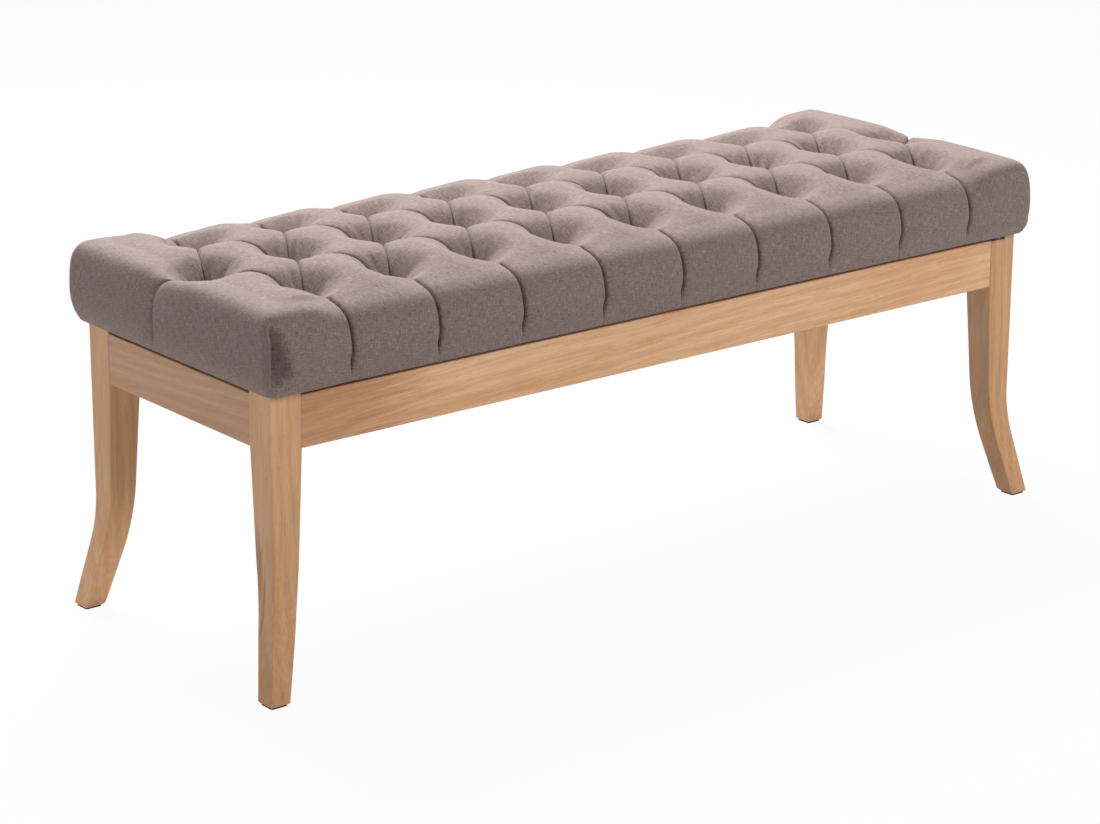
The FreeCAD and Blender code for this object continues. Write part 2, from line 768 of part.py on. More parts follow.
def dust_cover():
    """The thin cloth that closes the underside, with the seat screws passing through it."""
    sheet = opening_plate(FIT, BOARD_BOTTOM - DUST_COVER_THICKNESS, BOARD_BOTTOM)
    holes = [
        rod(Vector(place.x, place.y, LEG_TOP), UP, BOARD_THICKNESS, SEAT_SCREW_DIAMETER + WOOD_FIT)
        for place in seat_screw_places()
    ]
    return sheet.cut(holes)


def at_all_corners(shape):
    """A front left piece and its three mirror images, as one group."""
    return group([mirrored(shape, *flips) for flips in CORNERS.values()])


def parts():
    """Every node of the bench, by name."""
    nodes = {}
    plain_leg = leg()
    block = corner_block()
    pad = glide()
    for name, flips in CORNERS.items():
        nodes["leg_" + name] = mirrored(plain_leg, *flips)
        nodes["corner_block_" + name] = mirrored(block, *flips)
        nodes["glide_" + name] = mirrored(pad, *flips)
    nodes["leg_front_right"] = nodes["leg_front_right"].cut([notch(), notch_bolt_hole()])
    nodes["notch_bolt"] = notch_bolt()
    front_apron = long_apron()
    nodes["apron_front"] = front_apron
    nodes["apron_back"] = mirrored(front_apron, False, True)
    left_apron = short_apron()
    nodes["apron_left"] = left_apron
    nodes["apron_right"] = mirrored(left_apron, True, False)
    left_rail = cross_rail()
    nodes["cross_rail_left"] = left_rail
    nodes["cross_rail_right"] = mirrored(left_rail, True, False)
    nodes["rail_dowels"] = rail_dowels()
    nodes["hanger_bolts"] = at_all_corners(hanger_bolt())
    nodes["hanger_washers"] = at_all_corners(hanger_washer())
    nodes["hanger_nuts"] = at_all_corners(hanger_nut())
    block_screws = []
    for place in ("front", "left"):
        block_screws += [mirrored(block_screw(place), *flips) for flips in CORNERS.values()]
    nodes["block_screws"] = group(block_screws)
    nodes["seat_screws"] = group([seat_screw(place) for place in seat_screw_places()])
    nodes["seat_board"] = seat_board()
    nodes["foam_pad"] = foam_pad()
    nodes["tuft_twines"] = tuft_twines()
    nodes["dust_cover"] = dust_cover()
    nodes["seat_cover"] = seat_cover()
    return nodes


os.makedirs("parts", exist_ok=True)
for node, shape in parts().items():
    shape.exportStep("parts/" + node + ".step")
    print(node, len(shape.Solids), "solids", round(shape.Volume / 1000, 1), "cm3", shape.isValid())
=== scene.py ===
import math

import bpy
import numpy as np
from mathutils import Matrix, Vector


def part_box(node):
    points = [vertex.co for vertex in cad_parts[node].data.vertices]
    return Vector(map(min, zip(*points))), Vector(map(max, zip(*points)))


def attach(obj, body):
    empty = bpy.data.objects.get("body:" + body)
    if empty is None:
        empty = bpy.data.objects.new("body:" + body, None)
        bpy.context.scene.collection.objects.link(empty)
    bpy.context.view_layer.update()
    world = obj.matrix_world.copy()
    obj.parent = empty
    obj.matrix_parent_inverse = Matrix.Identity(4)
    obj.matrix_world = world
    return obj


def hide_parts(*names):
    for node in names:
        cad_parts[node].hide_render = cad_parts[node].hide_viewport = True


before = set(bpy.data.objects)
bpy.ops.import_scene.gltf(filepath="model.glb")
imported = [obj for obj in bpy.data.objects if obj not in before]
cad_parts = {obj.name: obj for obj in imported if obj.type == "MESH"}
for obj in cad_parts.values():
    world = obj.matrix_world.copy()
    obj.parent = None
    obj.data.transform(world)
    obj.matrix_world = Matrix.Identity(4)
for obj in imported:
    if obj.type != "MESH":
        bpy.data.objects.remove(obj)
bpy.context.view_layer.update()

MM = 0.001


# The upholstery: one cloth skin drawn down over a foam block. Its sizes are in millimetres.

HALF_LENGTH = 597.5
HALF_DEPTH = 210.0
CROWN_HEIGHT = 463.5
WIDEST_HEIGHT = 398.0
HEM_HEIGHT = 355.2
TURNED_UNDER = 48.0
# Below this height the cloth lies close against the edge of the seat board
HELD_BELOW = 366.0
FREE_ABOVE = 380.0

TUFT_PITCH = 120.0
TUFT_ROW = 115.0
TUFTS_IN_MIDDLE_ROW = 10

# The grid: it follows the outline from this far in, where the edge begins to roll over
ROLL_INSET = 40.0
# Rows and columns further out than this are drawn together towards the corners
KEPT_LENGTH = 530.0
KEPT_DEPTH = 140.0
# The strip along the outline whose grid lines are placed for the corner folds: these beside the
# folded edge, then one at this inset
CORNER_STRIP = 14.0
FOLD_LINES = (-2.6, 0.0, 1.3)
LAST_LINE_INSET = 4.0
CORNER_RADIUS = 8.0
CORNER_RADIUS_GAIN = 5.0
# The grid's steps: between two columns of tufts, past the last tuft, and in the outer and middle strips
COLUMN_STEPS, END_STEPS, OUTER_STEPS, MIDDLE_STEPS = 12, 9, 25, 13
# Its steps down the edge: over the roll, down the tuck, round the bend at the hem, and turned under
ROLL_STEPS, TUCK_STEPS, BEND_STEPS, UNDER_STEPS = 13, 9, 7, 5

# The crown falls off over this width, by these heights at the long edges and at the ends
CROWN_EDGE = 110.0
LONG_EDGE_DROP = 16.0
END_DROP = 8.0

# The cells between the pleats stand up by this height, and no two quite alike
CELL_HEIGHT = 6.5
CELL_REACH = 60.0
CELL_UNEVENNESS = 0.12
UNEVEN_LENGTH = 160
UNEVEN_SEED = 4
# Beside a pleat the cell rounds off tightly, for this share of its height, into the pleat's dark slit
LIP_REACH = 15.0
LIP_SHARE = 0.55
SLIT_DEPTH = 8.0
SLIT_WIDTH = 1.1
# The pleats that run down the ends are this much shallower than the others
END_PLEAT_LOSS = 0.65
# Where the board holds the cloth close, this share of the cells and of the slits is left
CELLS_HELD = 0.03
SLITS_HELD = 0.12
# Under the board the cloth is drawn in by no more than this
DRAWN_UNDER_BOARD = 0.6
# A tuft's well: a wide shallow dish with a steep funnel in it, and creases that run out of the funnel
DISH_DEPTH = 19.0
DISH_REACH = 72.0
FUNNEL_DEPTH = 31.0
FUNNEL_REACH = 44.0
# How hollow their walls are: one would be a plain cone
DISH_CURVE = 1.6
FUNNEL_CURVE = 1.15
CREASE_DEPTH = 8.0
CREASE_REACH = 60
CREASE_SEED = 11

# Where the cloth is folded at a corner: the folded edge, this far from the outline's corner
CORNER_FOLD = 8.8
CORNER_FOLD_DEPTH = 24.0
CORNER_FOLD_TOP = 446.0
# The pleat down each end leans back by this much from its top, and the cloth to each side goes with it
END_PLEAT_LEAN = 27.0
END_PLEAT_TOP = 456
END_PLEAT_SPREAD = 75
# The right end is drawn in a little more than the left, gathering over a length from this x
RIGHT_END_IN = 6.0
RIGHT_END_FROM = 480
RIGHT_END_OVER = 100

# The top of the skin, and its four sides in the order in which the grid runs round them
TOP, FRONT, RIGHT, BACK, LEFT = range(5)


def tuft_rows():
    """The x of the tufts in the outer rows and in the middle row."""
    last = (TUFTS_IN_MIDDLE_ROW - 1) / 2 * TUFT_PITCH
    middle = [-last + index * TUFT_PITCH for index in range(TUFTS_IN_MIDDLE_ROW)]
    outer = [x + TUFT_PITCH / 2 for x in middle[:-1]]
    return outer, middle


OUTER_TUFTS, MIDDLE_TUFTS = tuft_rows()
PLEAT_OFFSETS = [0.0, 0.9, 2.2, 5.0, 10.0]


def near_corner(half):
    """Grid lines close to a corner, two of them tight on each side of the folded edge."""
    fold = half - CORNER_FOLD
    return [fold + offset for offset in FOLD_LINES] + [half - LAST_LINE_INSET, half]


def grid_columns():
    """The columns' x: close together beside each pleat, with one through every tuft."""
    half = TUFT_PITCH / 2
    beside = PLEAT_OFFSETS + list(np.linspace(PLEAT_OFFSETS[-1], half, COLUMN_STEPS + 1)[1:])
    columns = []
    for x in OUTER_TUFTS:
        columns += [x - offset for offset in beside] + [x + offset for offset in beside]
    past_tufts = np.linspace(MIDDLE_TUFTS[-1], HALF_LENGTH - CORNER_STRIP, END_STEPS + 1)
    for x in list(past_tufts) + near_corner(HALF_LENGTH):
        columns += [x, -x]
    return np.unique(np.round(columns, 4))


def pleat_y(x):
    """How far from the middle the slanting pleats lie at a column."""
    nearest = np.min(np.abs(x[:, None] - np.array(OUTER_TUFTS)[None, :]), axis=1)
    return TUFT_ROW * (1 - np.minimum(nearest / (TUFT_PITCH / 2), 1))


def grid_rows(x):
    """The y of every grid point, a row of points for each column: three strips that meet at the pleats."""
    slope = math.cos(math.atan2(TUFT_ROW, TUFT_PITCH / 2))
    near = np.array(PLEAT_OFFSETS) / slope
    inner = pleat_y(x)[:, None]
    far = np.linspace(0, 1, OUTER_STEPS + 1)[1:]
    last = np.array(near_corner(HALF_DEPTH))
    spread = near[-1] + far * (HALF_DEPTH - CORNER_STRIP - inner - near[-1])
    outside = np.concatenate([near * np.ones_like(inner), spread], axis=1) + inner
    outside = np.concatenate([outside, last * np.ones_like(inner)], axis=1)
    whole = 2 * TUFT_ROW
    middle = np.concatenate([near, np.linspace(near[-1], TUFT_ROW, MIDDLE_STEPS + 1)[1:]]) / whole
    middle = np.concatenate([middle, 1 - middle[-2::-1]])
    inside = -inner + middle[None, :] * 2 * inner
    return np.concatenate([-outside[:, ::-1], inside[:, 1:-1], outside], axis=1)


def drawn_in(value, kept, half, inset):
    """A grid coordinate as it lies on the loop that is an inset in from the outline."""
    size = np.abs(value)
    beyond = kept + (size - kept) * (half - kept - inset) / (half - kept)
    return np.sign(value) * np.where(size > kept, beyond, size)


def with_round_corners(x, y, inset, radius):
    """Plan points with the corners of their loop rounded to a radius."""
    corner_x = HALF_LENGTH - inset - radius
    corner_y = HALF_DEPTH - inset - radius
    a = np.clip((np.abs(x) - corner_x) / radius, 0, 1)
    b = np.clip((np.abs(y) - corner_y) / radius, 0, 1)
    inside = (a > 0) & (b > 0)
    round_x = corner_x + radius * a * np.sqrt(1 - b * b / 2)
    round_y = corner_y + radius * b * np.sqrt(1 - a * a / 2)
    return np.where(inside, np.sign(x) * round_x, x), np.where(inside, np.sign(y) * round_y, y)


def bezier(points, count):
    """Points along a cubic curve, without its first."""
    t = np.linspace(0, 1, count + 1)[1:, None]
    p = [np.array(point, float)[None, :] for point in points]
    return (1 - t) ** 3 * p[0] + 3 * (1 - t) ** 2 * t * p[1] + 3 * (1 - t) * t * t * p[2] + t ** 3 * p[3]


def top_drop(inset_x, inset_y):
    """How far the crown has fallen, and how much of that is due to an end and not to a long edge."""
    width = CROWN_EDGE - ROLL_INSET
    near_long = np.clip((CROWN_EDGE - inset_y) / width, 0, 1)
    near_end = np.clip((CROWN_EDGE - inset_x) / width, 0, 1)
    share = near_end ** 2 / (near_end ** 2 + 0.12 * near_long ** 2 + 1e-9)
    return (1 - share) * LONG_EDGE_DROP * near_long ** 2 + share * END_DROP * near_end ** 2, share


def edge_profiles():
    """Insets and heights down the long edge and down the end: rolled over, tucked in, turned under."""
    widest = (0, WIDEST_HEIGHT)
    bottom = (19, HEM_HEIGHT)
    long_edge = [
        bezier([(ROLL_INSET, 447.5), (14, 439), (4, 432), widest], ROLL_STEPS),
        bezier([widest, (0, 383), (8.4, 372), (10.6, 363)], TUCK_STEPS),
        bezier([(10.6, 363), (10.7, 358), (10.8, HEM_HEIGHT), bottom], BEND_STEPS),
    ]
    end_edge = [
        bezier([(ROLL_INSET, 455.5), (3, 456), (1, 450), widest], ROLL_STEPS),
        bezier([widest, (0, 377), (3, 367), (7, 360.5)], TUCK_STEPS),
        bezier([(7, 360.5), (8, 358), (9, HEM_HEIGHT), bottom], BEND_STEPS),
    ]
    insets = np.linspace(bottom[0], TURNED_UNDER, UNDER_STEPS + 1)[1:]
    under = [(inset, HEM_HEIGHT) for inset in insets]
    raw_edge = (TURNED_UNDER, HEM_HEIGHT + 0.9)
    under = [np.array(under + [raw_edge])]
    return np.concatenate(long_edge + under), np.concatenate(end_edge + under)


def cushion_grid():
    """The skin before it is drawn down: its points, faces, places on the flat cloth, and sides."""
    x = grid_columns()
    rows = grid_rows(x)
    columns = np.repeat(x[:, None], rows.shape[1], axis=1)
    ids = {}
    points, flat_places, sides, faces = [], [], [], []

    def point_id(level, base, position, flat, side):
        key = (level, round(base[0], 3), round(base[1], 3) + 0.0)
        if key not in ids:
            ids[key] = len(points)
            points.append(position)
            flat_places.append(flat)
            sides.append(side)
        return ids[key]

    def add_face(*corners):
        kept = [corner for index, corner in enumerate(corners) if corner != corners[index - 1]]
        if len(kept) > 2:
            faces.append(kept)

    top_x = drawn_in(columns, KEPT_LENGTH, HALF_LENGTH, ROLL_INSET)
    top_y = drawn_in(rows, KEPT_DEPTH, HALF_DEPTH, ROLL_INSET)
    drop, share = top_drop(HALF_LENGTH - np.abs(top_x), HALF_DEPTH - np.abs(top_y))
    plan_x, plan_y = with_round_corners(top_x, top_y, ROLL_INSET, CORNER_RADIUS)
    top = np.empty(columns.shape, int)
    for at in np.ndindex(columns.shape):
        position = (plan_x[at], plan_y[at], CROWN_HEIGHT - drop[at])
        top[at] = point_id(0, (columns[at], rows[at]), position, (top_x[at], top_y[at]), TOP)
    last_i, last_j = columns.shape[0] - 1, columns.shape[1] - 1
    for i in range(last_i):
        for j in range(last_j):
            add_face(top[i, j], top[i + 1, j], top[i + 1, j + 1], top[i, j + 1])

    long_edge, end_edge = edge_profiles()
    runs = [
        (FRONT, [(i, 0) for i in range(last_i + 1)]),
        (RIGHT, [(last_i, j) for j in range(last_j + 1)]),
        (BACK, [(i, last_j) for i in range(last_i, -1, -1)]),
        (LEFT, [(0, j) for j in range(last_j, -1, -1)]),
    ]
    for side, run in runs:
        above = [top[at] for at in run]
        run = tuple(np.array(run).T)
        base_x, base_y, part = columns[run], rows[run], share[run]
        before = np.stack([np.full(len(part), ROLL_INSET), CROWN_HEIGHT - drop[run]], axis=1)
        length = np.zeros(len(part))
        for level in range(len(long_edge)):
            at = (1 - part)[:, None] * long_edge[level] + part[:, None] * end_edge[level]
            length = length + np.hypot(*(at - before).T)
            before = at
            inset = at[:, 0]
            loop_x = drawn_in(base_x, KEPT_LENGTH, HALF_LENGTH, inset)
            loop_y = drawn_in(base_y, KEPT_DEPTH, HALF_DEPTH, inset)
            outward = np.clip((ROLL_INSET - inset) / ROLL_INSET, 0, 1)
            radius = CORNER_RADIUS + CORNER_RADIUS_GAIN * outward
            plan = with_round_corners(loop_x, loop_y, inset, radius)
            here = []
            for index, out in enumerate(length):
                turned = -1 if side in (FRONT, LEFT) else 1
                if side in (FRONT, BACK):
                    place = (loop_x[index], (out + HALF_DEPTH - ROLL_INSET) * turned)
                else:
                    place = ((out + HALF_LENGTH - ROLL_INSET) * turned, loop_y[index])
                base = (base_x[index], base_y[index])
                position = (plan[0][index], plan[1][index], at[index, 1])
                here.append(point_id(level + 1, base, position, place, side))
            for index in range(len(here) - 1):
                add_face(above[index], here[index], here[index + 1], above[index + 1])
            above = here
    return np.array(points), faces, np.array(flat_places), np.array(sides)


def pleats():
    """Every pleat as its two ends on the flat cloth."""
    far = 2000.0
    lines = []
    for x in OUTER_TUFTS:
        for row in (-TUFT_ROW, TUFT_ROW):
            lines.append(((x, row), (x - TUFT_PITCH / 2, 0.0)))
            lines.append(((x, row), (x + TUFT_PITCH / 2, 0.0)))
            lines.append(((x, row), (x, row + math.copysign(far, row))))
    lines.append(((MIDDLE_TUFTS[0], 0.0), (-far, 0.0)))
    lines.append(((MIDDLE_TUFTS[-1], 0.0), (far, 0.0)))
    return lines


def distance_to(flat, start, end):
    """How far points on the flat cloth are from a line between two points."""
    start, run = np.array(start), np.array(end) - np.array(start)
    along = np.clip((flat - start) @ run / (run @ run), 0, 1)
    return np.hypot(*(flat - start - along[:, None] * run).T)


def tufts():
    """The places of all the tufts."""
    outer = [(x, row) for x in OUTER_TUFTS for row in (-TUFT_ROW, TUFT_ROW)]
    return outer + [(x, 0.0) for x in MIDDLE_TUFTS]


def unevenness(flat, size, seed):
    """Slow waves about a size long, between -1 and 1."""
    chance = np.random.RandomState(seed)
    total = np.zeros(len(flat))
    for index in range(9):
        angle = chance.uniform(0, math.pi)
        wave = 2 * math.pi / (size * chance.uniform(0.7, 1.6))
        total += np.sin((flat @ [math.cos(angle), math.sin(angle)]) * wave + chance.uniform(0, 6.3))
    return total / 4.5


def corner_folds(points, sides):
    """The corner folds: the cloth goes in behind each folded edge, and its lip stands out a little."""
    height = points[:, 2]
    below_top = CORNER_FOLD_TOP - height
    opened = np.clip(below_top / 34, 0, 1) ** 0.8
    above_board = np.clip((height - 368) / 12, 0, 1)
    depth = CORNER_FOLD_DEPTH * opened * above_board
    width = 9 + 0.27 * np.clip(below_top, 0, 60)
    moved = np.zeros(points.shape)
    folds = [
        # side, axis along it, end of that axis, half size, direction inward
        (FRONT, 0, -1, HALF_LENGTH, 1),
        (RIGHT, 1, -1, HALF_DEPTH, -1),
        (BACK, 0, 1, HALF_LENGTH, -1),
        (BACK, 0, -1, HALF_LENGTH, -1),
    ]
    for side, axis, end, half, inward in folds:
        from_fold = half - CORNER_FOLD - end * points[:, axis]
        behind = np.clip(1 - np.maximum(from_fold, 0) / width, 0, 1) ** 0.6
        lip = -0.10 * np.exp(-((from_fold / 5) ** 2))
        beside = np.where(from_fold > -0.3, behind, lip)
        near = (sides == side) & (from_fold < 60)
        moved[:, 1 - axis] += np.where(near, inward * depth * beside, 0)
    return moved


def end_pleats_lean(points):
    """The pleat down each end runs a little to the back: how far the cloth there is shifted."""
    down = np.clip((END_PLEAT_TOP - points[:, 2]) / 50, 0, 1)
    at_end = np.clip((np.abs(points[:, 0]) - HALF_LENGTH + 32) / 20, 0, 1)
    above_hem = np.clip((points[:, 2] - HEM_HEIGHT) / 6, 0, 1)
    nearby = np.exp(-((points[:, 1] / END_PLEAT_SPREAD) ** 2))
    return END_PLEAT_LEAN * down * (2 - down) * at_end * above_hem * nearby


def right_end_drawn_in(points):
    """How far the cloth near the right end is drawn in, less where the seat board holds it out."""
    held = np.clip((points[:, 2] - HELD_BELOW) / (FREE_ABOVE - HELD_BELOW), 0.2, 1)
    return RIGHT_END_IN * np.clip((points[:, 0] - RIGHT_END_FROM) / RIGHT_END_OVER, 0, 1) * held


def creases(flat, to_tuft, at_tuft):
    """The small creases that fan out of every tuft: each its own length, depth and direction."""
    chance = np.random.RandomState(CREASE_SEED)
    total = np.zeros(len(flat))
    for index, centre in enumerate(tufts()):
        mine = (at_tuft == index) & (to_tuft < CREASE_REACH)
        offset = flat[mine] - np.array(centre)
        away = to_tuft[mine]
        angle = np.arctan2(offset[:, 1], offset[:, 0])
        count = chance.randint(7, 10)
        for turn in np.linspace(0, 2 * math.pi, count, endpoint=False):
            turn += chance.uniform(-0.16, 0.16)
            reach = chance.uniform(30, 58)
            strength = chance.uniform(0.35, 1.0)
            bend = chance.uniform(-0.006, 0.006)
            off_line = np.abs((angle - turn - bend * away + math.pi) % (2 * math.pi) - math.pi)
            gap = off_line * np.maximum(away, 4)
            furrow = np.exp(-((gap / (2.6 + 0.05 * away)) ** 2))
            ridge = 0.45 * np.exp(-((gap / (6.0 + 0.10 * away)) ** 2))
            along = np.clip(away / 12, 0, 1) * np.clip(1 - away / reach, 0, 1) ** 0.6
            total[mine] += strength * (furrow - ridge) * along
    return total


def pulled_in(flat, points):
    """How far in from the smooth crowned shape the pleats and tufts draw the cloth."""
    sunk = np.zeros(len(flat))
    nearest = np.full(len(flat), 1e6)
    for start, end in pleats():
        away = distance_to(flat, start, end)
        nearest = np.minimum(nearest, away)
        arch = (1 - np.minimum(away / CELL_REACH, 1)) ** 2
        lip = 1 - np.sqrt(1 - (1 - np.minimum(away / LIP_REACH, 1)) ** 2)
        sunk += ((1 - LIP_SHARE) * arch + LIP_SHARE * lip) ** 4
    sunk = np.minimum(sunk ** 0.25, 1)
    to_tuft = np.full(len(flat), 1e6)
    at_tuft = np.zeros(len(flat), int)
    for index, tuft in enumerate(tufts()):
        away = np.hypot(*(flat - np.array(tuft)).T)
        at_tuft = np.where(away < to_tuft, index, at_tuft)
        to_tuft = np.minimum(to_tuft, away)
    free = np.clip((points[:, 2] - HELD_BELOW) / (FREE_ABOVE - HELD_BELOW), 0, 1)
    shallow = 1 - END_PLEAT_LOSS * np.clip((np.abs(flat[:, 0]) - MIDDLE_TUFTS[-1]) / 25, 0, 1)
    cells = CELL_HEIGHT * (1 + CELL_UNEVENNESS * unevenness(flat, UNEVEN_LENGTH, UNEVEN_SEED)) * sunk
    drawn = cells * (CELLS_HELD + (1 - CELLS_HELD) * free) * (0.4 + 0.6 * shallow)
    slit = SLIT_DEPTH * np.exp(-((nearest / SLIT_WIDTH) ** 2))
    drawn += slit * (SLITS_HELD + (1 - SLITS_HELD) * free) * shallow
    drawn += DISH_DEPTH * np.clip(1 - to_tuft / DISH_REACH, 0, 1) ** DISH_CURVE
    drawn += FUNNEL_DEPTH * np.clip(1 - to_tuft / FUNNEL_REACH, 0, 1) ** FUNNEL_CURVE
    drawn += CREASE_DEPTH * creases(flat, to_tuft, at_tuft)
    return np.where(points[:, 2] > HEM_HEIGHT + 0.2, drawn, np.minimum(drawn, DRAWN_UNDER_BOARD))


def new_mesh(name, points, faces, scale=MM):
    """A mesh from points, in millimetres unless another scale is given, and faces."""
    mesh = bpy.data.meshes.new(name)
    mesh.from_pydata([tuple(p) for p in np.asarray(points) * scale], [], faces)
    mesh.validate()
    return mesh


def new_object(name, mesh, smooth=True):
    """An object that shows a mesh in the scene."""
    obj = bpy.data.objects.new(name, mesh)
    bpy.context.scene.collection.objects.link(obj)
    if smooth:
        mesh.polygons.foreach_set("use_smooth", [True] * len(mesh.polygons))
    return obj


def vertex_values(values, name):
    """The vectors that a mesh keeps for its vertices, a row for each."""
    found = np.empty(len(values) * 3)
    values.foreach_get(name, found)
    return found.reshape(-1, 3)


def cushion():
    """The tufted cushion: its smooth shape drawn in square to its surface, mapped by the flat cloth."""
    points, faces, flat, sides = cushion_grid()
    mesh = new_mesh("tufted_cushion", points, faces)
    moved = vertex_values(mesh.vertices, "co")
    moved -= vertex_values(mesh.vertex_normals, "vector") * pulled_in(flat, points)[:, None] * MM
    moved += corner_folds(points, sides) * MM
    moved[:, 1] += end_pleats_lean(points) * MM
    moved[:, 0] -= right_end_drawn_in(points) * MM
    mesh.vertices.foreach_set("co", moved.ravel())
    mesh.update()
    corners = np.empty(len(mesh.loops), int)
    mesh.loops.foreach_get("vertex_index", corners)
    mesh.uv_layers.new(name="cloth").data.foreach_set("uv", (flat[corners] * MM).ravel())
    piece = new_object("tufted_cushion", mesh)
    smoother = piece.modifiers.new("finer", "SUBSURF")
    smoother.levels = 1
    smoother.render_levels = 1
    return piece


# Materials


def linear(hex_colour):
    """A colour written as sRGB hex, as the linear values that a shader takes."""
    values = [int(hex_colour[i : i + 2], 16) / 255 for i in (1, 3, 5)]
    return tuple(v / 12.92 if v <= 0.04045 else ((v + 0.055) / 1.055) ** 2.4 for v in values) + (1.0,)


def add_node(tree, kind, inputs=None, stops=None, **settings):
    """Adds a node with its settings, and links or sets its inputs."""
    made = tree.nodes.new(kind)
    for name, value in settings.items():
        setattr(made, name, value)
    for key, value in (inputs or {}).items():
        if isinstance(value, bpy.types.NodeSocket):
            tree.links.new(value, made.inputs[key])
        else:
            made.inputs[key].default_value = value
    if stops:
        elements = made.color_ramp.elements
        while len(elements) < len(stops):
            elements.new(0.5)
        for element, (position, colour) in zip(elements, stops):
            element.position = position
            element.color = linear(colour)
    return made


def new_material(name):
    """An empty material and its node tree."""
    made = bpy.data.materials.new(name)
    made.use_nodes = True
    made.node_tree.nodes.clear()
    return made, made.node_tree


def finish_material(tree, shader):
    """Gives a material's surface its shader."""
    add_node(tree, "ShaderNodeOutputMaterial", {"Surface": shader.outputs[0]})


def shaded(tree, colour, tone):
    """A colour made lighter or darker by a tone."""
    made = add_node(tree, "ShaderNodeVectorMath", {0: colour, "Scale": tone.outputs[0]}, operation="SCALE")
    return made.outputs[0]


def stretched_noise(tree, place, scale, detail):
    """Noise drawn out by a different scale along each axis."""
    spread = add_node(tree, "ShaderNodeMapping", {"Vector": place, "Scale": scale})
    return add_node(tree, "ShaderNodeTexNoise", {
        "Vector": spread.outputs[0], "Scale": 1.0, "Detail": detail})


def woven_linen_look():
    """Woven cloth with a linen look: slubby threads from brown to pale, matt, with a soft sheen."""
    made, tree = new_material("woven_linen_look")
    place = add_node(tree, "ShaderNodeUVMap", uv_map="cloth").outputs["UV"]
    # Slubs 9 mm long and 0.8 mm wide, about twice the width of the real thread, so that they show
    weft = stretched_noise(tree, place, (110, 1250, 1), 2.0)
    warp = stretched_noise(tree, place, (1250, 110, 1), 2.0)
    both = add_node(tree, "ShaderNodeMix", {"Factor": 0.5, "A": weft.outputs[0], "B": warp.outputs[0]})
    colour = add_node(
        tree, "ShaderNodeValToRGB", {"Fac": both.outputs[0]},
        stops=[(0.34, "#5c4d49"), (0.47, "#7e6c66"), (0.56, "#897771"), (0.70, "#ad9b95")],
    )
    patches = add_node(tree, "ShaderNodeTexNoise", {"Vector": place, "Scale": 28.0, "Detail": 3.0})
    tone = add_node(tree, "ShaderNodeMapRange", {
        "Value": patches.outputs[0], "From Min": 0.3, "From Max": 0.7, "To Min": 0.96, "To Max": 1.04})
    # Thread relief at 1.1 mm, twice the real spacing, because the real one is too fine to show
    relief = both
    for direction in ("X", "Y"):
        ribs = add_node(tree, "ShaderNodeTexWave", {"Vector": place, "Scale": 290.0, "Distortion": 1.5},
                        wave_type="BANDS", bands_direction=direction)
        relief = add_node(tree, "ShaderNodeMath", {0: ribs.outputs[1], 1: relief.outputs[0]},
                          operation="ADD")
    bump = add_node(tree, "ShaderNodeBump", {
        "Height": relief.outputs[0], "Strength": 0.35, "Distance": 0.0004})
    finish_material(tree, add_node(tree, "ShaderNodeBsdfPrincipled", {
        "Base Color": shaded(tree, colour.outputs[0], tone), "Roughness": 0.9, "IOR": 1.45,
        "Normal": bump.outputs[0],
        "Sheen Weight": 0.35, "Sheen Roughness": 0.5, "Sheen Tint": linear("#d8cfc8"),
    }))
    return made


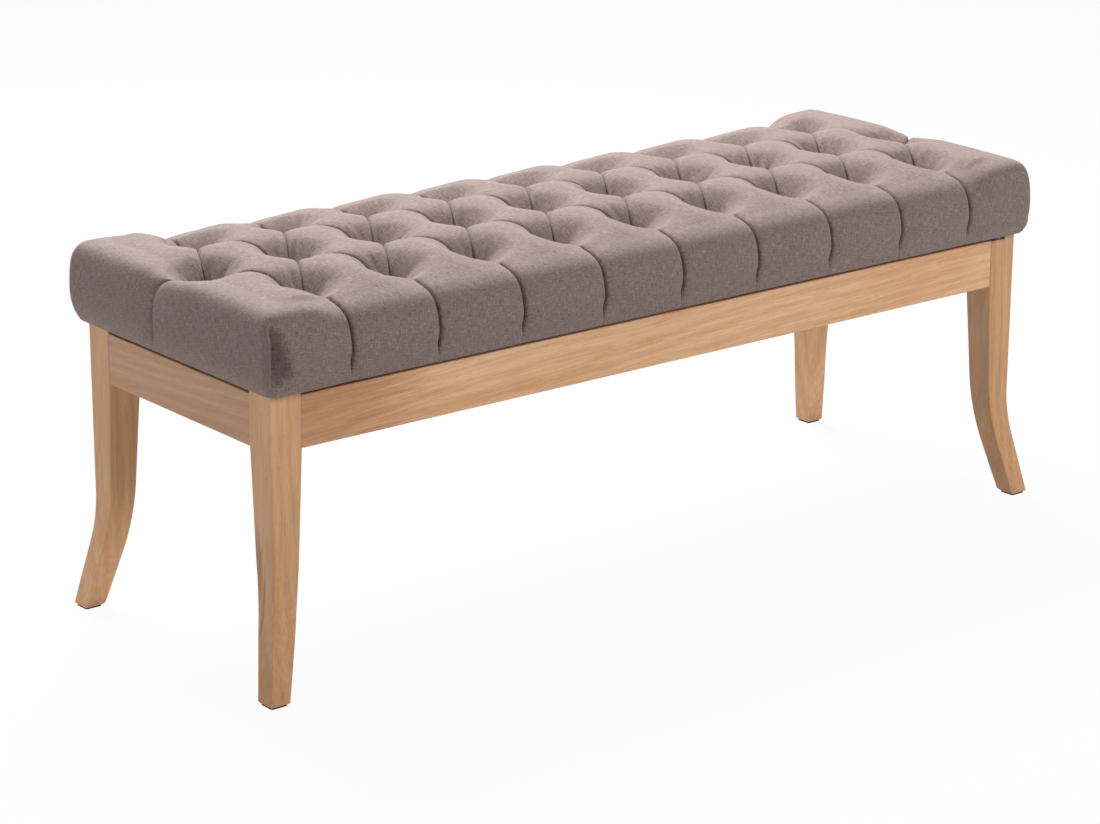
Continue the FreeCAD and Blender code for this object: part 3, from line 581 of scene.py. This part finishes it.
def lacquered_hardwood(name, grain_axis, seed, tones, painted_shade_marks=()):
    """Light hardwood, lacquered: soft growth rings, fine pores along the grain, and a satin shine."""
    made, tree = new_material(name)
    place = add_node(tree, "ShaderNodeTexCoord").outputs["Object"]
    order = {"X": (0, 0, 0), "Y": (0, 0, math.pi / 2), "Z": (0, math.pi / 2, 0)}[grain_axis]
    turned = add_node(tree, "ShaderNodeVectorRotate", {"Vector": place, "Rotation": order},
                      rotation_type="EULER_XYZ")
    board = add_node(tree, "ShaderNodeMapping", {
        "Vector": turned.outputs[0], "Location": (0.31 * seed, 0.17 * seed, 0.23 * seed),
        "Rotation": (0, 0.025 * seed, 0.04)}).outputs[0]
    drift = stretched_noise(tree, board, (2.2, 16, 16), 2.0)
    # Growth rings about 16 mm apart, cut at a slant and bent by the drift, so that they arch
    rings_place = add_node(tree, "ShaderNodeMapping", {"Vector": board, "Scale": (0.12, 1, 1)})
    rings_place = add_node(tree, "ShaderNodeVectorMath", {
        0: drift.outputs["Color"], 1: (0.05, 0.05, 0.05), 2: rings_place.outputs[0]},
        operation="MULTIPLY_ADD")
    rings = add_node(tree, "ShaderNodeTexWave", {
        "Vector": rings_place.outputs[0], "Scale": 20.0, "Distortion": 2.0, "Detail": 2.0},
        wave_type="RINGS", rings_direction="X")
    # Fibre bundles 2.4 mm wide, and pores 0.7 mm wide, about three times the real ones, so that they show
    fibre = stretched_noise(tree, board, (9, 420, 420), 4.0)
    pore = stretched_noise(tree, board, (70, 1500, 1500), 1.0)
    figure = add_node(tree, "ShaderNodeMath", {0: rings.outputs[1], 1: 0.20, 2: fibre.outputs[0]},
                      operation="MULTIPLY_ADD")
    figure = add_node(tree, "ShaderNodeMath", {0: drift.outputs[0], 1: 0.8, 2: figure.outputs[0]},
                      operation="MULTIPLY_ADD")
    spread = add_node(tree, "ShaderNodeMapRange", {
        "Value": figure.outputs[0], "From Min": 0.45, "From Max": 1.40})
    colour = add_node(tree, "ShaderNodeValToRGB", {"Fac": spread.outputs[0]},
                      stops=list(zip((0.0, 0.4, 0.7, 1.0), tones)))
    in_pores = add_node(tree, "ShaderNodeMapRange", {
        "Value": pore.outputs[0], "From Min": 0.60, "From Max": 0.72, "To Min": 1.0, "To Max": 0.80})
    base = shaded(tree, colour.outputs[0], in_pores)
    # Painted shade: darker, cooler ovals at their own places
    for centre, size, tint in painted_shade_marks:
        away = add_node(tree, "ShaderNodeVectorMath", {0: place, 1: centre}, operation="SUBTRACT")
        away = add_node(tree, "ShaderNodeVectorMath", {0: away.outputs[0], 1: size}, operation="DIVIDE")
        away = add_node(tree, "ShaderNodeVectorMath", {0: away.outputs[0]}, operation="LENGTH")
        away = add_node(tree, "ShaderNodeMath", {0: fibre.outputs[0], 1: 0.5, 2: away.outputs["Value"]},
                        operation="MULTIPLY_ADD")
        share = add_node(tree, "ShaderNodeMapRange", {
            "Value": away.outputs[0], "From Min": 0.75, "From Max": 1.3, "To Min": 1.0, "To Max": 0.0})
        darker = add_node(tree, "ShaderNodeVectorMath", {0: base, 1: linear(tint)[:3]},
                          operation="MULTIPLY")
        # Inputs 4 and 5 of the mix are its two colours as vectors, and output 1 is their blend
        base = add_node(tree, "ShaderNodeMix", {"Factor": share.outputs[0], 4: base, 5: darker.outputs[0]},
                        data_type="VECTOR").outputs[1]
    rough = add_node(tree, "ShaderNodeMapRange", {
        "Value": fibre.outputs[0], "To Min": 0.38, "To Max": 0.55})
    bump = add_node(tree, "ShaderNodeBump", {
        "Height": fibre.outputs[0], "Strength": 0.12, "Distance": 0.0003})
    finish_material(tree, add_node(tree, "ShaderNodeBsdfPrincipled", {
        "Base Color": base, "Roughness": rough.outputs[0], "IOR": 1.5, "Normal": bump.outputs[0],
        "Coat Weight": 0.15, "Coat Roughness": 0.35,
    }))
    return made


def plain_finish(name, colour, metallic, roughness, grit, bump_depth):
    """A finish of one colour with a fine grit in its tone, shine and relief, both sizes in millimetres."""
    made, tree = new_material(name)
    place = add_node(tree, "ShaderNodeTexCoord").outputs["Object"]
    grain = add_node(tree, "ShaderNodeTexNoise", {"Vector": place, "Scale": 1 / (grit * MM), "Detail": 3.0})
    tone = add_node(tree, "ShaderNodeMapRange", {"Value": grain.outputs[0], "To Min": 0.85, "To Max": 1.15})
    rough = add_node(tree, "ShaderNodeMapRange", {
        "Value": grain.outputs[0], "To Min": roughness - 0.08, "To Max": roughness + 0.08})
    bump = add_node(tree, "ShaderNodeBump", {
        "Height": grain.outputs[0], "Strength": 0.3, "Distance": bump_depth * MM})
    finish_material(tree, add_node(tree, "ShaderNodeBsdfPrincipled", {
        "Base Color": shaded(tree, linear(colour)[:3], tone), "Roughness": rough.outputs[0],
        "Metallic": metallic, "Normal": bump.outputs[0],
    }))
    return made


CLOTH = woven_linen_look()
# Painted shade where the light falls off to the left: on the left face of the front left leg, and at the
# front apron's left end, where it is partly the wood's own darker tone
LEG_WOOD = lacquered_hardwood(
    "leg_hardwood", "Z", 1.0, ["#ae7a4b", "#c69162", "#d19f6f", "#dbad83"],
    painted_shade_marks=[((-0.597, -0.159, 0.150), (0.030, 0.011, 0.060), "#c2a6a4"),
           ((-0.597, -0.170, 0.120), (0.030, 0.004, 0.055), "#c9b0a8")])
# The long aprons' wood is lighter, standing for the stronger light on the front apron under the cushion's
# overhang: painted light
LONG_WOOD_PAINTED_LIGHT = lacquered_hardwood(
    "long_apron_hardwood_painted_light", "X", 2.0, ["#c68f5d", "#dba577", "#e6b88d", "#efc59e"],
    painted_shade_marks=[((-0.53, -0.190, 0.335), (0.17, 0.05, 0.09), "#dbcdc8")])
# The end aprons' wood is darker, for the shade on the faces turned to the left: painted shade
SHORT_WOOD_PAINTED_SHADE = lacquered_hardwood(
    "short_apron_hardwood_painted_shade", "Y", 3.0, ["#9c7049", "#b5855d", "#c1926e", "#cda17d"])
BLOCK_WOOD = lacquered_hardwood(
    "block_hardwood", "X", 4.0, ["#a97e5a", "#c1946d", "#cca37c", "#d6b08b"])
# Bright plating, a little clouded
STEEL = plain_finish("zinc_plated_steel", "#b9babb", 1.0, 0.30, 1.5, 0.02)
# Pressed felt: black and quite dull
GLIDE = plain_finish("black_felt_glide", "#141313", 0.0, 0.9, 0.6, 0.02)
# Bonded fibres: near black, dull, with a fine pebbled relief
DUST = plain_finish("black_nonwoven", "#19191a", 0.0, 0.9, 1.0, 0.15)
# Sanded and left raw: pale and matt
PLYWOOD = plain_finish("raw_plywood", "#b99b73", 0.0, 0.8, 2.0, 0.05)


def paint(node, material):
    """Shows a CAD piece in a material."""
    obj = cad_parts[node]
    for slot in obj.material_slots:
        slot.material = material
    if not obj.material_slots:
        obj.data.materials.append(material)


for corner in ("front_left", "front_right", "back_left", "back_right"):
    paint("leg_" + corner, LEG_WOOD)
    paint("corner_block_" + corner, BLOCK_WOOD)
    paint("glide_" + corner, GLIDE)
for side in ("front", "back"):
    paint("apron_" + side, LONG_WOOD_PAINTED_LIGHT)
for side in ("left", "right"):
    paint("apron_" + side, SHORT_WOOD_PAINTED_SHADE)
    paint("cross_rail_" + side, SHORT_WOOD_PAINTED_SHADE)
paint("rail_dowels", SHORT_WOOD_PAINTED_SHADE)
for fastener in ("hanger_bolts", "hanger_washers", "hanger_nuts",
                 "block_screws", "seat_screws", "notch_bolt"):
    paint(fastener, STEEL)
paint("seat_board", PLYWOOD)

seat = cushion()
seat.data.materials.append(CLOTH)
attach(seat, "root")
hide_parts("seat_cover", "foam_pad", "tuft_twines")


def dust_sheet():
    """The black cloth under the seat, stretched flat inside the turned-under edge, with a trace of sag."""
    deepest_sag = 0.5 * MM
    sag_starts_over = 0.05
    above_low = 0.3 * MM
    low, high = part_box("dust_cover")
    xs = np.linspace(low[0], high[0], 89)
    ys = np.linspace(low[1], high[1], 27)
    points = []
    for x in xs:
        for y in ys:
            from_edge = min((x - low[0]), (high[0] - x), (y - low[1]), (high[1] - y))
            waves = 0.5 + 0.5 * math.sin(x * 40) * math.sin(y * 30)
            sag = deepest_sag * min(from_edge / sag_starts_over, 1.0) * waves
            points.append((x, y, low[2] + above_low - sag))
    row = len(ys)
    faces = [
        (i * row + j, i * row + j + 1, (i + 1) * row + j + 1, (i + 1) * row + j)
        for i in range(len(xs) - 1) for j in range(row - 1)
    ]
    piece = new_object("dust_sheet", new_mesh("dust_sheet", points, faces, 1.0))
    piece.data.materials.append(DUST)
    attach(piece, "root")
    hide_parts("dust_cover")


dust_sheet()


# Stage, light and camera


def seen_directly(tree):
    """One where the camera sees a surface, also in or through another, and nought in the light it gives."""
    path = add_node(tree, "ShaderNodeLightPath")
    seen = path.outputs["Is Camera Ray"]
    for ray in ("Is Glossy Ray", "Is Transmission Ray"):
        either = add_node(tree, "ShaderNodeMath", {0: seen, 1: path.outputs[ray]}, operation="MAXIMUM")
        seen = either.outputs[0]
    return seen


def stage_floor():
    """A white painted floor, lit almost evenly to the eye, which keeps a faint shadow."""
    size = 30
    corners = [(-size, -size, 0), (size, -size, 0), (size, size, 0), (-size, size, 0)]
    mesh = new_mesh("studio_floor", corners, [(0, 1, 2, 3)], 1.0)
    floor = new_object("studio_floor", mesh, smooth=False)
    made, tree = new_material("white_floor_paint")
    matt = add_node(tree, "ShaderNodeBsdfDiffuse", {"Color": linear("#cfcfce")})
    glow = add_node(tree, "ShaderNodeEmission", {"Color": (1, 1, 1, 1), "Strength": 1.0})
    share = add_node(tree, "ShaderNodeMath", {0: seen_directly(tree), 1: 0.95}, operation="MULTIPLY")
    finish_material(tree, add_node(tree, "ShaderNodeMixShader", {
        0: share.outputs[0], 1: matt.outputs[0], 2: glow.outputs[0]}))
    mesh.materials.append(made)


def studio_world():
    """White surroundings: full white to the eye, and a weak even light on the bench."""
    world = bpy.data.worlds.new("studio_world")
    bpy.context.scene.world = world
    world.use_nodes = True
    tree = world.node_tree
    tree.nodes.clear()
    strength = add_node(tree, "ShaderNodeMapRange", {
        "Value": seen_directly(tree), "To Min": 0.21, "To Max": 1.0})
    back = add_node(tree, "ShaderNodeBackground", {
        "Color": (1, 1, 1, 1), "Strength": strength.outputs[0]})
    add_node(tree, "ShaderNodeOutputWorld", {"Surface": back.outputs[0]})


def softbox(name, place, target, size, power):
    """A rectangular lamp turned to a target."""
    lamp = bpy.data.lights.new(name, "AREA")
    lamp.shape = "RECTANGLE"
    lamp.size, lamp.size_y = size
    lamp.energy = power
    obj = bpy.data.objects.new(name, lamp)
    obj.location = place
    obj.rotation_euler = (Vector(target) - Vector(place)).to_track_quat("-Z", "Y").to_euler()
    bpy.context.scene.collection.objects.link(obj)


def photo_camera():
    """The camera where the photograph was taken, solved from the legs and aprons."""
    place = (-2.4991, -3.0564, 1.4358)
    focal_pixels, photo_pixels, sensor = 3319, 1100, 36.0
    azimuth, elevation, roll = (math.radians(v) for v in (-38.833, 17.682, 0.248))
    right = Vector((math.cos(azimuth), math.sin(azimuth), 0))
    back = Vector((math.sin(azimuth) * math.cos(elevation), -math.cos(azimuth) * math.cos(elevation),
                   math.sin(elevation)))
    up = back.cross(right)
    turned_right = right * math.cos(roll) + up * math.sin(roll)
    turned_up = up * math.cos(roll) - right * math.sin(roll)
    camera = bpy.data.cameras.new("photo_camera")
    camera.sensor_width = sensor
    camera.lens = focal_pixels / photo_pixels * sensor
    camera.clip_end = 200
    obj = bpy.data.objects.new("photo_camera", camera)
    turn = Matrix((turned_right, turned_up, back)).transposed().to_4x4()
    obj.matrix_world = Matrix.Translation(place) @ turn
    bpy.context.scene.collection.objects.link(obj)
    bpy.context.scene.camera = obj


stage_floor()
studio_world()
softbox("overhead_softbox", (0.3, 2.0, 2.7), (0, 0, 0.4), (2.0, 1.2), 200)
softbox("front_softbox", (1.3, -3.4, 2.3), (0, 0, 0.35), (2.0, 1.6), 76)
softbox("left_softbox", (-3.6, -0.8, 1.8), (0, 0, 0.35), (1.8, 1.8), 18)
photo_camera()
bpy.context.scene.view_settings.view_transform = "Standard"
